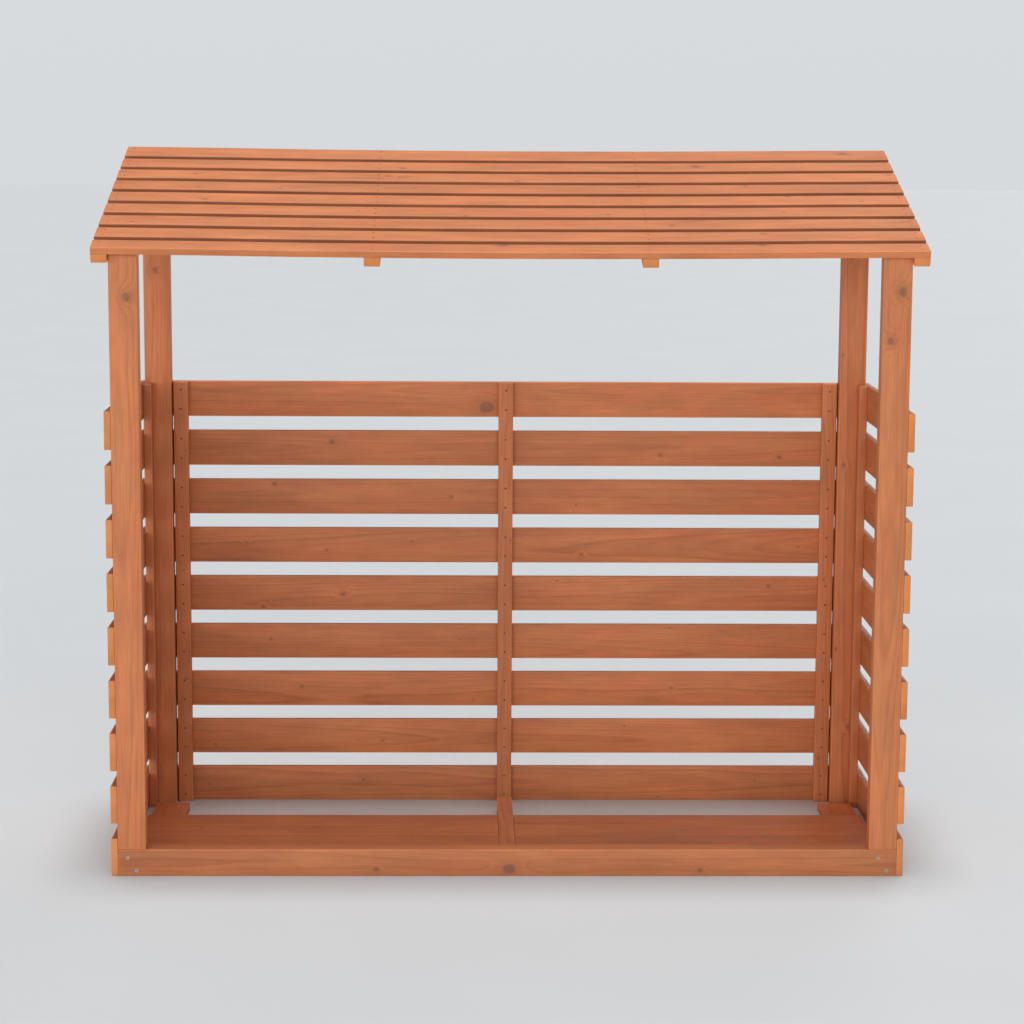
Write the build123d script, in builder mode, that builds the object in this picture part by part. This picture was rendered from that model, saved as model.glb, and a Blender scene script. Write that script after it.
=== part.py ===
from build123d import *
import os
from math import copysign, cos, radians, sin, tan

# Firewood log rack: four posts and a half-lapped front rail, slatted panels on the back
# and on both sides, a mono-pitch roof of spaced slats on flat rafters, and a low floor panel.
# Millimetres. +X is to the right, +Y to the back, +Z up. The origin is on the ground, in the
# middle of the footprint that the roof's front edge and the back slats give.

# Overall sizes
wall_width = 1800  # over the outer faces of the side slats
frame_depth = 672  # front faces of the front posts to the back faces of the back posts
wall_height = 1061  # slatted panels, from the ground up
eave_height = 1422  # top front edge of the roof above the ground
roof_pitch = 17  # degrees, rising to the back
eave_overhang = 21  # top front edge of the roof, ahead of the front posts
roof_setback = 4  # top rear edge of the roof, ahead of the back posts' back faces

# Frame timber
post_width = 64
post_depth = 40
rail_height = 62
rail_depth = 50
lap_thickness = 22  # front cheek that the rail keeps over each front post
lap_gap = 0.5  # between the rail's shoulder and the post

# Slatted panels
slat_width = 87
slat_thickness = 15
slat_count = 9
batten_width = 36
batten_thickness = 20
batten_gap = 3  # between a back post and the back panel's end batten

# Roof
roof_slat_width = 63
eave_slat_width = 52
top_slat_width = 74
roof_slat_thickness = 16
roof_slat_count = 9
rafter_width = 36
rafter_thickness = 20
middle_rafter_x = 306

# Floor panel
floor_board_width = 88
floor_board_thickness = 15
floor_board_gap = 0.7
floor_rows = 4
bearer_thickness = 18
runner_width = 37  # part of the middle bearer that shows between the boards
runner_ledge = 20  # ledge on each side of it, as far back as the boards that it carries
floor_gap = 1  # all round the floor panel, and at the boards' ends
floor_back_gap = 57  # from the bearers' rear ends to the back posts' front faces

# Fasteners
nail_radius = 1
nail_length = 30
nail_head_radius = 2.2
nail_head_height = 1
nail_point = 3
short_screw_radius = 2
short_screw_length = 35
short_screw_head_radius = 4
long_screw_radius = 2.5
long_screw_length = 70
long_screw_head_radius = 5
screw_point = 5
tip_gap = 0.5  # left free past the point of each nail and screw
wall_nail_edge = 19.5  # nail to the edge of the slat it holds
roof_nail_edge = 14
floor_nail_edge = 20
rail_screw_offset = 10  # to each side of the post's middle
rail_screw_low = 13
rail_screw_high = 42
rafter_screw_offset = 8  # from the post's middle, towards the middle of the rack
screwed_slats = (1, 5, slat_count - 1)  # slats that are screwed to the posts, from the top

# What follows from them
slope = radians(roof_pitch)
post_span = wall_width - 2 * slat_thickness  # over the posts' outer faces
post_x = (post_span - post_width) / 2
front_y = (eave_overhang - frame_depth - slat_thickness) / 2  # the front posts' front faces
back_y = front_y + frame_depth  # the back posts' back faces
middle_y = (front_y + back_y) / 2
eave_y = front_y - eave_overhang
slat_pitch = (wall_height - slat_width) / (slat_count - 1)
back_batten_x = post_span / 2 - post_width - batten_gap - batten_width / 2
side_batten_y = frame_depth / 2 - post_depth - batten_width / 2  # to each side of middle_y
side_post_y = (frame_depth - post_depth) / 2
roof_width = post_span + 2 * rafter_width
roof_length = (frame_depth + eave_overhang - roof_setback) / cos(slope)
full_slats = roof_slat_count - 2  # all but the eave slat and the top slat
slats_length = eave_slat_width + full_slats * roof_slat_width + top_slat_width
roof_gap = (roof_length - slats_length) / (roof_slat_count - 1)
end_rafter_x = (post_span + rafter_width) / 2
floor_front_y = front_y + rail_depth + floor_gap
bearer_length = back_y - post_depth - floor_back_gap - floor_front_y
floor_rows_depth = floor_rows * (floor_board_width + floor_board_gap) - floor_board_gap
floor_top = bearer_thickness + floor_board_thickness
bearer_outer_x = post_span / 2 - batten_thickness - floor_gap
bearer_inner_x = back_batten_x - batten_width / 2
bearer_x = (bearer_outer_x + bearer_inner_x) / 2
board_inner_x = runner_width / 2 + floor_gap
ledge_x = (runner_width + runner_ledge) / 2

roof_top = Plane(
    origin=(0, eave_y, eave_height), x_dir=(1, 0, 0), z_dir=(0, -sin(slope), cos(slope))
)

os.makedirs("parts", exist_ok=True)


def slat_height(number):
    """Height of a wall slat's middle. Slats are counted from the top."""
    return wall_height - slat_width / 2 - (number - 1) * slat_pitch


def roof_height(y, depth):
    """Height at y of the surface that lies this deep under the roof's top."""
    return eave_height + (y - eave_y) * tan(slope) - depth / cos(slope)


def places(plane, points):
    """Locations of points on a plane. A fastener there is driven against the plane's normal."""
    return [plane.location * Location((x, y, 0)) for x, y in points]


def save(piece, name):
    """Label a finished piece and write it to a file of its own."""
    piece.part.label = name
    export_step(piece.part, f"parts/{name}.step")


# Each fastener is made once, pointing down from its head at the origin.
def nail():
    """Round wire nail with a flat head."""
    with BuildPart() as piece:
        with BuildSketch(Plane.XZ):
            with BuildLine():
                Polyline(
                    (0, 0),
                    (nail_head_radius, 0),
                    (nail_head_radius, -nail_head_height),
                    (nail_radius, -nail_head_height),
                    (nail_radius, nail_point - nail_length),
                    (0, -nail_length),
                    close=True,
                )
            make_face()
        revolve(axis=Axis.Z)
    return piece.part


def screw(radius, length, head_radius):
    """Countersunk wood screw. Its head tapers at 45 degrees."""
    with BuildPart() as piece:
        with BuildSketch(Plane.XZ):
            with BuildLine():
                Polyline(
                    (0, 0),
                    (head_radius, 0),
                    (radius, radius - head_radius),
                    (radius, screw_point - length),
                    (0, -length),
                    close=True,
                )
            make_face()
        revolve(axis=Axis.Z)
    return piece.part


def fasteners(name, pattern, spots):
    """Copies of one fastener at every spot, as separate solids in one piece."""
    with BuildPart() as piece:
        with Locations(*spots):
            add(pattern)
    save(piece, name)


# Holes, cut in the board that is being built.
def nail_seats(spots):
    """Through holes with a seat for the head."""
    with Locations(*spots):
        CounterBoreHole(nail_radius, nail_head_radius, nail_head_height)


def screw_seats(spots, radius, head_radius):
    """Countersunk through holes."""
    with Locations(*spots):
        CounterSinkHole(radius, head_radius, counter_sink_angle=90)


def bites(spots, cover, radius, length):
    """Blind holes for fasteners that first pass through a cover of this thickness."""
    with Locations(*[spot * Location((0, 0, -cover)) for spot in spots]):
        Hole(radius, length - cover + tip_gap)


def board(name, plane, length, width, thickness, drill):
    """Board with its outer face on a plane, drilled by a function. Its length runs along x."""
    with BuildPart() as piece:
        with BuildSketch(plane):
            Rectangle(length, width)
        extrude(amount=-thickness)
        drill()
    save(piece, name)


# Fastener spots of the slatted panels
def back_face(y, height):
    """Upright plane that faces the front."""
    return Plane(origin=(0, y, height), x_dir=(1, 0, 0), z_dir=(0, -1, 0))


def side_face(x, facing, height):
    """Upright plane at x that faces right (1) or left (-1)."""
    return Plane(origin=(x, middle_y, height), x_dir=(0, facing, 0), z_dir=(facing, 0, 0))


nail_rise = slat_width / 2 - wall_nail_edge


def back_nails(number, x):
    """The two nails where a back slat crosses the batten at x."""
    face = back_face(back_y - batten_thickness, slat_height(number))
    return places(face, [(x, -nail_rise), (x, nail_rise)])


def side_nails(side, number, y):
    """The two nails where a side slat crosses a batten. y is counted from middle_y."""
    face = side_face(side * (post_span / 2 - batten_thickness), -side, slat_height(number))
    return places(face, [(-side * y, -nail_rise), (-side * y, nail_rise)])


def back_screws(number, x):
    """The screw from a back slat into the post at x."""
    face = Plane(
        origin=(0, back_y + slat_thickness, slat_height(number)), x_dir=(-1, 0, 0), z_dir=(0, 1, 0)
    )
    return places(face, [(-x, 0)]) if number in screwed_slats else []


def side_screws(side, number, y):
    """The screw from a side slat into a post. y is counted from middle_y."""
    face = side_face(side * wall_width / 2, side, slat_height(number))
    return places(face, [(side * y, 0)]) if number in screwed_slats else []


def rail_screws(side):
    """The two screws of the lap joint at one end of the rail."""
    face = back_face(front_y, 0)
    middle = side * post_x
    return places(
        face,
        [(middle - rail_screw_offset, rail_screw_high), (middle + rail_screw_offset, rail_screw_low)],
    )


def rafter_screw(side, offset):
    """The screw through an end rafter into the post at this offset from middle_y."""
    y = middle_y + offset - copysign(rafter_screw_offset, offset)
    height = roof_height(y, roof_slat_thickness + rafter_thickness / 2)
    face = Plane(origin=(side * roof_width / 2, y, height), x_dir=(0, side, 0), z_dir=(side, 0, 0))
    return places(face, [(0, 0)])


def short_bites(spots, cover):
    """Blind holes for short screws."""
    if spots:
        bites(spots, cover, short_screw_radius, short_screw_length)


def nail_bites(spots, cover):
    """Blind holes for nails."""
    bites(spots, cover, nail_radius, nail_length)


numbers = range(1, slat_count + 1)
post_rows = {"front": -side_post_y, "back": side_post_y}
batten_rows = {"front": -side_batten_y, "back": side_batten_y}
sides = {"left": -1, "right": 1}
back_battens = {"left": -back_batten_x, "center": 0, "right": back_batten_x}

# Front rail. Each end keeps a front cheek, and the post's tongue stands behind it.
with BuildPart() as front_rail:
    with BuildSketch(Plane.XY):
        with Locations((0, front_y)):
            Rectangle(post_span, rail_depth, align=(Align.CENTER, Align.MIN))
        notch_x = post_span / 2 - (post_width + lap_gap) / 2
        with Locations((-notch_x, front_y + rail_depth), (notch_x, front_y + rail_depth)):
            Rectangle(
                post_width + lap_gap,
                rail_depth - lap_thickness,
                align=(Align.CENTER, Align.MAX),
                mode=Mode.SUBTRACT,
            )
    extrude(amount=rail_height)
    screw_seats(rail_screws(-1) + rail_screws(1), short_screw_radius, short_screw_head_radius)
save(front_rail, "front_rail")

# Posts. Their tops are sawn to the slope of the slats that lie on them.
for end, side in sides.items():
    for row, offset in post_rows.items():
        y = middle_y + offset
        y0, y1 = y - post_depth / 2, y + post_depth / 2
        top = [(y1, roof_height(y1, roof_slat_thickness)), (y0, roof_height(y0, roof_slat_thickness))]
        if row == "front":
            y_lap = y0 + lap_thickness
            outline = [(y_lap, 0), (y1, 0), *top, (y0, rail_height), (y_lap, rail_height)]
        else:
            outline = [(y0, 0), (y1, 0), *top]
        with BuildPart() as post:
            with BuildSketch(Plane.YZ.offset(side * post_x)):
                with BuildLine():
                    Polyline(*outline, close=True)
                make_face()
            extrude(amount=post_width / 2, both=True)
            for number in screwed_slats:
                short_bites(side_screws(side, number, offset), slat_thickness)
                if row == "back":
                    short_bites(back_screws(number, side * post_x), slat_thickness)
            if row == "front":
                short_bites(rail_screws(side), lap_thickness)
            bites(rafter_screw(side, offset), rafter_width, long_screw_radius, long_screw_length)
        save(post, f"{row}_{end}_post")

# Back panel: slats across the back faces of the back posts, on three battens.
for number in numbers:

    def drill():
        for x in back_battens.values():
            nail_bites(back_nails(number, x), batten_thickness)
        if number in screwed_slats:
            spots = back_screws(number, -post_x) + back_screws(number, post_x)
            screw_seats(spots, short_screw_radius, short_screw_head_radius)

    face = back_face(back_y, slat_height(number))
    board(f"back_slat_{number}", face, wall_width, slat_width, slat_thickness, drill)

for end, x in back_battens.items():

    def drill():
        for number in numbers:
            nail_seats(back_nails(number, x))

    face = Plane(
        origin=(x, back_y - batten_thickness, wall_height / 2), x_dir=(0, 0, 1), z_dir=(0, -1, 0)
    )
    board(f"back_{end}_batten", face, wall_height, batten_width, batten_thickness, drill)

# Side panels: slats outside the posts, on a batten at each post.
for end, side in sides.items():
    for number in numbers:

        def drill():
            for y in batten_rows.values():
                nail_bites(side_nails(side, number, y), batten_thickness)
            if number in screwed_slats:
                spots = [spot for y in post_rows.values() for spot in side_screws(side, number, y)]
                screw_seats(spots, short_screw_radius, short_screw_head_radius)

        face = side_face(side * post_span / 2, -side, slat_height(number))
        board(f"{end}_slat_{number}", face, frame_depth, slat_width, slat_thickness, drill)

    for row, y in batten_rows.items():

        def drill():
            for number in numbers:
                nail_seats(side_nails(side, number, y))

        face = Plane(
            origin=(side * (post_span / 2 - batten_thickness), middle_y + y, wall_height / 2),
            x_dir=(0, 0, 1),
            z_dir=(-side, 0, 0),
        )
        board(f"{end}_{row}_batten", face, wall_height, batten_width, batten_thickness, drill)


# Roof: slats across four flat rafters. The end rafters lie against the posts' outer faces.
rafters = {
    "left": -end_rafter_x,
    "middle_left": -middle_rafter_x,
    "middle_right": middle_rafter_x,
    "right": end_rafter_x,
}
roof_rows = range(1, roof_slat_count + 1)


def roof_slat_size(number):
    """Width of a roof slat. Slats are counted from the eave."""
    return {1: eave_slat_width, roof_slat_count: top_slat_width}.get(number, roof_slat_width)


def roof_slat_middle(number):
    """Distance up the slope from the eave to a roof slat's middle."""
    below = [roof_slat_size(n) + roof_gap for n in range(1, number)]
    return sum(below) + roof_slat_size(number) / 2


def roof_nails(number, x):
    """The two nails where a roof slat crosses the rafter at x."""
    spread = roof_slat_size(number) / 2 - roof_nail_edge
    y = roof_slat_middle(number)
    return places(roof_top, [(x, y - spread), (x, y + spread)])


for number in roof_rows:

    def drill():
        for x in rafters.values():
            nail_seats(roof_nails(number, x))

    face = Plane(
        origin=roof_top.from_local_coords((0, roof_slat_middle(number), 0)),
        x_dir=roof_top.x_dir,
        z_dir=roof_top.z_dir,
    )
    name = f"roof_slat_{number}"
    board(name, face, roof_width, roof_slat_size(number), roof_slat_thickness, drill)

for end, x in rafters.items():

    def drill():
        for number in roof_rows:
            nail_bites(roof_nails(number, x), roof_slat_thickness)
        if end in sides:
            spots = [s for y in post_rows.values() for s in rafter_screw(sides[end], y)]
            screw_seats(spots, long_screw_radius, long_screw_head_radius)

    face = Plane(
        origin=roof_top.from_local_coords((x, roof_length / 2, -roof_slat_thickness)),
        x_dir=roof_top.y_dir,
        z_dir=roof_top.z_dir,
    )
    board(f"{end}_rafter", face, roof_length, rafter_width, rafter_thickness, drill)

# Floor panel: two rows of boards between side bearers and a rebated middle runner.
floor_nail_rise = floor_board_width / 2 - floor_nail_edge


def floor_row_y(row):
    """Middle of a row of floor boards. Rows are counted from the front."""
    return floor_front_y + floor_board_width / 2 + row * (floor_board_width + floor_board_gap)


def floor_nails(side, row, x):
    """The two nails that hold one end of a floor board, at x from the rack's middle."""
    face = Plane.XY.offset(floor_top)
    y = floor_row_y(row)
    return places(face, [(side * x, y - floor_nail_rise), (side * x, y + floor_nail_rise)])


def floor_end_nails(side, x):
    """All the nails down one bearer or one ledge of the runner."""
    return [spot for row in range(floor_rows) for spot in floor_nails(side, row, x)]


for end, side in sides.items():
    with BuildPart() as bearer:
        with BuildSketch(Plane.XY):
            with Locations((side * bearer_x, floor_front_y)):
                Rectangle(
                    bearer_outer_x - bearer_inner_x, bearer_length, align=(Align.CENTER, Align.MIN)
                )
        extrude(amount=bearer_thickness)
        nail_bites(floor_end_nails(side, bearer_x), floor_board_thickness)
    save(bearer, f"floor_{end}_bearer")

with BuildPart() as floor_runner:
    with BuildSketch(Plane.XZ.offset(-floor_front_y)):
        Rectangle(
            runner_width + 2 * runner_ledge, bearer_thickness, align=(Align.CENTER, Align.MIN)
        )
    extrude(amount=-floor_rows_depth)
    with BuildSketch(Plane.XZ.offset(-floor_front_y)):
        Rectangle(runner_width, floor_top, align=(Align.CENTER, Align.MIN))
    extrude(amount=-bearer_length)
    ledge_nails = floor_end_nails(-1, ledge_x) + floor_end_nails(1, ledge_x)
    nail_bites(ledge_nails, floor_board_thickness)
save(floor_runner, "floor_runner")

with BuildPart() as floor_boards:
    with BuildSketch(Plane.XY.offset(bearer_thickness)):
        board_x = (board_inner_x + bearer_outer_x) / 2
        spots = [(s * board_x, floor_row_y(row)) for s in sides.values() for row in range(floor_rows)]
        with Locations(*spots):
            Rectangle(bearer_outer_x - board_inner_x, floor_board_width)
    extrude(amount=floor_board_thickness)
    bearer_nails = floor_end_nails(-1, bearer_x) + floor_end_nails(1, bearer_x)
    nail_seats(ledge_nails + bearer_nails)
save(floor_boards, "floor_boards")

# Fasteners
panel_nail_spots = [
    *[spot for x in back_battens.values() for n in numbers for spot in back_nails(n, x)],
    *[
        spot
        for side in sides.values()
        for y in batten_rows.values()
        for n in numbers
        for spot in side_nails(side, n, y)
    ],
    *ledge_nails,
    *bearer_nails,
]
short_screw_spots = [
    *rail_screws(-1),
    *rail_screws(1),
    *[spot for s in (-1, 1) for n in screwed_slats for spot in back_screws(n, s * post_x)],
    *[
        spot
        for s in (-1, 1)
        for y in post_rows.values()
        for n in screwed_slats
        for spot in side_screws(s, n, y)
    ],
]
fasteners("panel_nails", nail(), panel_nail_spots)
fasteners(
    "roof_nails", nail(), [s for x in rafters.values() for n in roof_rows for s in roof_nails(n, x)]
)
fasteners(
    "short_screws",
    screw(short_screw_radius, short_screw_length, short_screw_head_radius),
    short_screw_spots,
)
fasteners(
    "long_screws",
    screw(long_screw_radius, long_screw_length, long_screw_head_radius),
    [s for side in (-1, 1) for y in post_rows.values() for s in rafter_screw(side, y)],
)
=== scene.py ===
import math
import random

import bmesh
import bpy
from bpy.props import FloatProperty, FloatVectorProperty, IntProperty, PointerProperty
from mathutils import Matrix, Vector


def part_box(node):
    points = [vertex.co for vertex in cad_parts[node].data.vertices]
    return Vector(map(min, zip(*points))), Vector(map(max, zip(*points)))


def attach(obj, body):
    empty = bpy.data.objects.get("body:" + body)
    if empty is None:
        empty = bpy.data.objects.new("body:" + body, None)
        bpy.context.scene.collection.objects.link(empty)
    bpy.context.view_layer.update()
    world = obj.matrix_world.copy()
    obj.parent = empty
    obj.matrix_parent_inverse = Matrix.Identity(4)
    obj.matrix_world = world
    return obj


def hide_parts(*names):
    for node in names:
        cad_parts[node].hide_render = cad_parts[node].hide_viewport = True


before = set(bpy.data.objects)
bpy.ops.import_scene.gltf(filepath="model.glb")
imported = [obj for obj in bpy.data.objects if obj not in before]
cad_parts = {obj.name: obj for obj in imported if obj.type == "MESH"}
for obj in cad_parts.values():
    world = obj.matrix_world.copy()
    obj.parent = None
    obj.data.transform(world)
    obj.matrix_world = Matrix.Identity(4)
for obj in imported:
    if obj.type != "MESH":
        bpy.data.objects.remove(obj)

bl_info = {
    "name": "Firewood log rack",
    "version": (1, 0, 0),
    "blender": (4, 5, 0),
    "location": "View3D > Sidebar > Log rack",
    "description": "Boards, nails, screws and studio of a stained softwood log rack",
    "category": "Object",
}

MM = 0.001
SIDES = {"left": -1, "right": 1}
BODY = "root"
NEAR = 1 * MM  # points or planes within this of each other count as one
WELD = 0.01 * MM
SQUARE_ON = 0.9  # a face whose normal is more along an axis looks straight along it


def hex_colour(text):
    """Linear red, green and blue of an sRGB hex colour."""
    parts = [int(text[i : i + 2], 16) / 255 for i in (0, 2, 4)]
    return tuple(p / 12.92 if p <= 0.04045 else ((p + 0.055) / 1.055) ** 2.4 for p in parts)


def corners(node):
    """All the corner points of a CAD node."""
    return [vertex.co.copy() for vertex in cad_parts[node].data.vertices]


def roof_slope():
    """The roof's slope in radians, from the top edges of a rafter's two ends."""
    points = corners("left_rafter")
    eave = min(points, key=lambda p: p.y)
    ridge = max(points, key=lambda p: p.z)
    return math.atan2(ridge.z - eave.z, ridge.y - eave.y)


SLOPE = roof_slope()
ROOF_TURN = Matrix.Rotation(SLOPE, 4, "X")
LEVEL = Matrix.Identity(4)


class LogRackTimber(bpy.types.PropertyGroup):
    """Sizes and colours of the stained softwood."""

    early: FloatVectorProperty(
        name="Early wood", description="Colour of the pale part of a growth ring",
        subtype="COLOR", size=3, min=0, max=1, default=hex_colour("CC7E4B"),
    )
    late: FloatVectorProperty(
        name="Late wood", description="Colour of the dark part of a growth ring",
        subtype="COLOR", size=3, min=0, max=1, default=hex_colour("AE6338"),
    )
    knot: FloatVectorProperty(
        name="Knot", description="Colour of a knot's heart",
        subtype="COLOR", size=3, min=0, max=1, default=hex_colour("7D5240"),
    )
    end_grain: FloatVectorProperty(
        name="End grain", description="Tint of sawn ends, which drink more stain",
        subtype="COLOR", size=3, min=0, max=1, default=hex_colour("DE8B48"),
    )
    edge_radius: FloatProperty(
        name="Edge radius", description="Rounding of the planed edges",
        subtype="DISTANCE", unit="LENGTH", min=0.0, default=2.2 * MM,
    )
    floor_edge_radius: FloatProperty(
        name="Floor edge radius", description="Rounding of the closely laid floor boards",
        subtype="DISTANCE", unit="LENGTH", min=0.0, default=0.6 * MM,
    )
    ring: FloatProperty(
        name="Growth ring", description="Thickness of one growth ring",
        subtype="DISTANCE", unit="LENGTH", min=0.5 * MM, default=4.2 * MM,
    )
    fibre: FloatProperty(
        name="Fibre", description="Thickness of the streaks along the grain",
        subtype="DISTANCE", unit="LENGTH", min=0.2 * MM, default=2.4 * MM,
    )


class LogRackFixings(bpy.types.PropertyGroup):
    """Sizes of the nails and screws."""

    sunk: FloatProperty(
        name="Sunk", description="How far the heads lie below the wood",
        subtype="DISTANCE", unit="LENGTH", min=0.0, default=0.3 * MM,
    )
    seat: FloatProperty(
        name="Seat", description="Bruised wood round a head",
        subtype="DISTANCE", unit="LENGTH", min=0.0, default=0.4 * MM,
    )
    sides: IntProperty(
        name="Sides", description="Facets round a nail or a screw", min=8, default=20
    )


class LogRackRoof(bpy.types.PropertyGroup):
    """How the roof hangs."""

    sag: FloatProperty(
        name="Sag", description="How far the middle of the roof hangs below its ends",
        subtype="DISTANCE", unit="LENGTH", min=0.0, default=6.5 * MM,
    )


class LogRackStudio(bpy.types.PropertyGroup):
    """Camera and lights."""

    lens: FloatProperty(
        name="Lens", description="Focal length on a 36 mm sensor",
        unit="CAMERA", min=1.0, default=91.64,
    )
    eye: FloatVectorProperty(
        name="Camera", description="Where the camera stands",
        subtype="XYZ", unit="LENGTH", size=3, default=(-0.1041, -6.0735, 1.7075),
    )
    aim: FloatVectorProperty(
        name="Aim", description="Tilt up from straight down, roll, and turn to the left",
        subtype="EULER", unit="ROTATION", size=3,
        default=(math.radians(81.39), math.radians(0.32), math.radians(-1.08)),
    )
    key: FloatProperty(
        name="Key light", description="Strength of the broad low light in front",
        min=0.0, default=0.78,
    )
    side: FloatProperty(
        name="Side light",
        description="Strength of the low light through the left side's gaps",
        min=0.0, default=0.50,
    )
    front: FloatProperty(
        name="Front light", description="Strength of the soft light from the front right",
        min=0.0, default=0.38,
    )
    high: FloatProperty(
        name="High light",
        description="Strength of the broad light that slants in at the front",
        min=0.0, default=0.12,
    )
    top: FloatProperty(
        name="Top light", description="Strength of the light straight above the roof",
        min=0.0, default=2.45,
    )
    back: FloatProperty(
        name="Back light",
        description="Strength of the soft light on the back and the sides",
        min=0.0, default=0.55,
    )
    sky: FloatProperty(
        name="Room light", description="Strength of the light from all round",
        min=0.0, default=0.29,
    )


# --- Small helpers -------------------------------------------------------------------


def add_node(tree, kind, inputs=(), **settings):
    """Add a shader node. Each input gets a value, an output, or a node's first output."""
    made = tree.nodes.new(kind)
    for key, value in settings.items():
        setattr(made, key, value)
    for socket, value in dict(inputs).items():
        if isinstance(value, bpy.types.Node):
            value = value.outputs[0]
        if isinstance(value, bpy.types.NodeSocket):
            tree.links.new(value, made.inputs[socket])
        else:
            made.inputs[socket].default_value = value
    return made


def deselect():
    """Leave edit mode with nothing selected."""
    if bpy.context.object and bpy.context.object.mode != "OBJECT":
        bpy.ops.object.mode_set(mode="OBJECT")
    bpy.ops.object.select_all(action="DESELECT")


def take(piece):
    """Make one object the only selected and the active one."""
    deselect()
    piece.select_set(True)
    bpy.context.view_layer.objects.active = piece


def copy_of(piece):
    """A copy of an object with a mesh of its own."""
    made = piece.copy()
    made.data = piece.data.copy()
    bpy.context.collection.objects.link(made)
    return made


def joined(pieces, name):
    """Several objects as one."""
    deselect()
    for piece in pieces:
        piece.select_set(True)
    bpy.context.view_layer.objects.active = pieces[0]
    if len(pieces) > 1:
        bpy.ops.object.join()
    pieces[0].name = name
    return pieces[0]


def block(low, high):
    """A box between two corners, left in edit mode."""
    deselect()
    bpy.ops.mesh.primitive_cube_add(size=1, location=(low + high) / 2, scale=high - low)
    bpy.ops.object.transform_apply()
    bpy.ops.object.mode_set(mode="EDIT")
    return bpy.context.object


def cut(place, normal, clear=False):
    """Cut the whole mesh with a plane, and take away what lies beyond it if asked to."""
    bpy.ops.mesh.select_all(action="SELECT")
    bpy.ops.mesh.bisect(plane_co=place, plane_no=normal, clear_outer=clear, use_fill=clear)


def pick_faces(piece, test):
    """Select the faces that pass a test of their middle and their normal."""
    bpy.ops.mesh.select_mode(type="FACE")
    bpy.ops.mesh.select_all(action="DESELECT")
    mesh = bmesh.from_edit_mesh(piece.data)
    for face in mesh.faces:
        face.select = test(face.calc_center_median(), face.normal)
    bmesh.update_edit_mesh(piece.data)


def apply(piece, kind, **settings):
    """Add a modifier with its settings and apply it."""
    take(piece)
    modifier = piece.modifiers.new(kind.title(), kind)
    for key, value in settings.items():
        setattr(modifier, key, value)
    bpy.ops.object.modifier_apply(modifier=modifier.name)


def islands(node):
    """The corner points of each separate solid of a CAD node."""
    mesh = bmesh.new()
    mesh.from_mesh(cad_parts[node].data)
    bmesh.ops.remove_doubles(mesh, verts=mesh.verts, dist=WELD)
    found, seen = [], set()
    for start in mesh.verts:
        if start in seen:
            continue
        group, queue = [], [start]
        seen.add(start)
        while queue:
            vertex = queue.pop()
            group.append(vertex.co.copy())
            for edge in vertex.link_edges:
                other = edge.other_vert(vertex)
                if other not in seen:
                    seen.add(other)
                    queue.append(other)
        found.append(group)
    mesh.free()
    return found


END_REACH = 0.2 * MM  # how near a point is to a nail's or screw's end to belong to it


def fixing_spots(node, turn=LEVEL):
    """Head centre and outward direction of each nail or screw of a CAD node.

    Each lies along an axis of the straight frame, with its wider end at the head.
    """
    back, spots = turn.inverted(), []
    for points in islands(node):
        straight = [back @ p for p in points]
        low = Vector([min(p[i] for p in straight) for i in range(3)])
        high = Vector([max(p[i] for p in straight) for i in range(3)])
        axis = max(range(3), key=lambda i: high[i] - low[i])
        head, tip = (low + high) / 2, (low + high) / 2

        def width(end):
            near = [p for p in straight if abs(p[axis] - end) < END_REACH]
            return max((p - q).length for p in near for q in near)

        head[axis], tip[axis] = high[axis], low[axis]
        if width(low[axis]) > width(high[axis]):
            head[axis], tip[axis] = low[axis], high[axis]
        spots.append((turn @ head, (turn @ head - turn @ tip).normalized()))
    return spots


SPOTS = {
    "panel_nails": fixing_spots("panel_nails"),
    "roof_nails": fixing_spots("roof_nails", ROOF_TURN),
    "short_screws": fixing_spots("short_screws"),
    "long_screws": fixing_spots("long_screws"),
}


# --- Boards --------------------------------------------------------------------------


class Board:
    """A board's box in a straight frame of its own, and how its grain runs in it."""

    def __init__(self, points, turn=LEVEL, grain="x", face="z"):
        back = turn.inverted()
        straight = [back @ p for p in points]
        self.turn = turn
        self.low = Vector([min(p[i] for p in straight) for i in range(3)])
        self.high = Vector([max(p[i] for p in straight) for i in range(3)])
        self.along = "xyz".index(grain)
        self.through = "xyz".index(face)
        self.across = 3 - self.along - self.through

    @property
    def middle(self):
        return (self.low + self.high) / 2

    def local(self, point):
        """A point as distances along, across and through the board from its middle."""
        away = self.turn.inverted() @ point - self.middle
        return Vector((away[self.along], away[self.across], away[self.through]))


# The knots that stand out most: along, across and radius, in millimetres from the board's
# middle. The other boards draw theirs by chance, from their own names.
KNOTS = {
    "back_slat_1": [(-47, -19, 15)],
    "front_right_post": [(619, 11, 9), (511, -13, 7)],
    "front_left_post": [(601, 7, 8), (558, 3, 5)],
    "back_left_post": [(527, -3, 6)],
    "front_rail": [(2, -14, 12), (437, -17, 4), (-300, -15, 4)],
    "roof_slat_1": [(-19, 20, 9), (555, 22, 8)],
    "back_slat_2": [(385, -16, 4), (680, -20, 4), (-430, 14, 4)],
    "roof_slat_8": [(450, 5, 9), (-250, -14, 5)],
    "roof_slat_9": [(815, 10, 9)],
}
# How much lighter or darker than the rest some boards are. The others differ by chance.
TONES = {
    "front_left_post": 0.15,
    "front_right_post": 0.08,
    "back_left_post": 0.10,
    "back_right_post": 0.06,
    "front_rail": -0.07,
    "back_slat_1": 0.05,
    "back_slat_9": -0.02,
    "floor_runner": 0.04,
}
TONE_SPREAD = 0.05
# Painted light on the roof: the eave slat's front face gets a painted highlight, and the
# front faces of the slats behind it get painted shade where the gaps between slats lie in
# shadow.
PAINTED_FRONT_FACE_SHADE_AND_HIGHLIGHT = {f"roof_slat_{number}": -0.52 for number in range(2, 10)}
PAINTED_FRONT_FACE_SHADE_AND_HIGHLIGHT["roof_slat_1"] = 0.14

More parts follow.
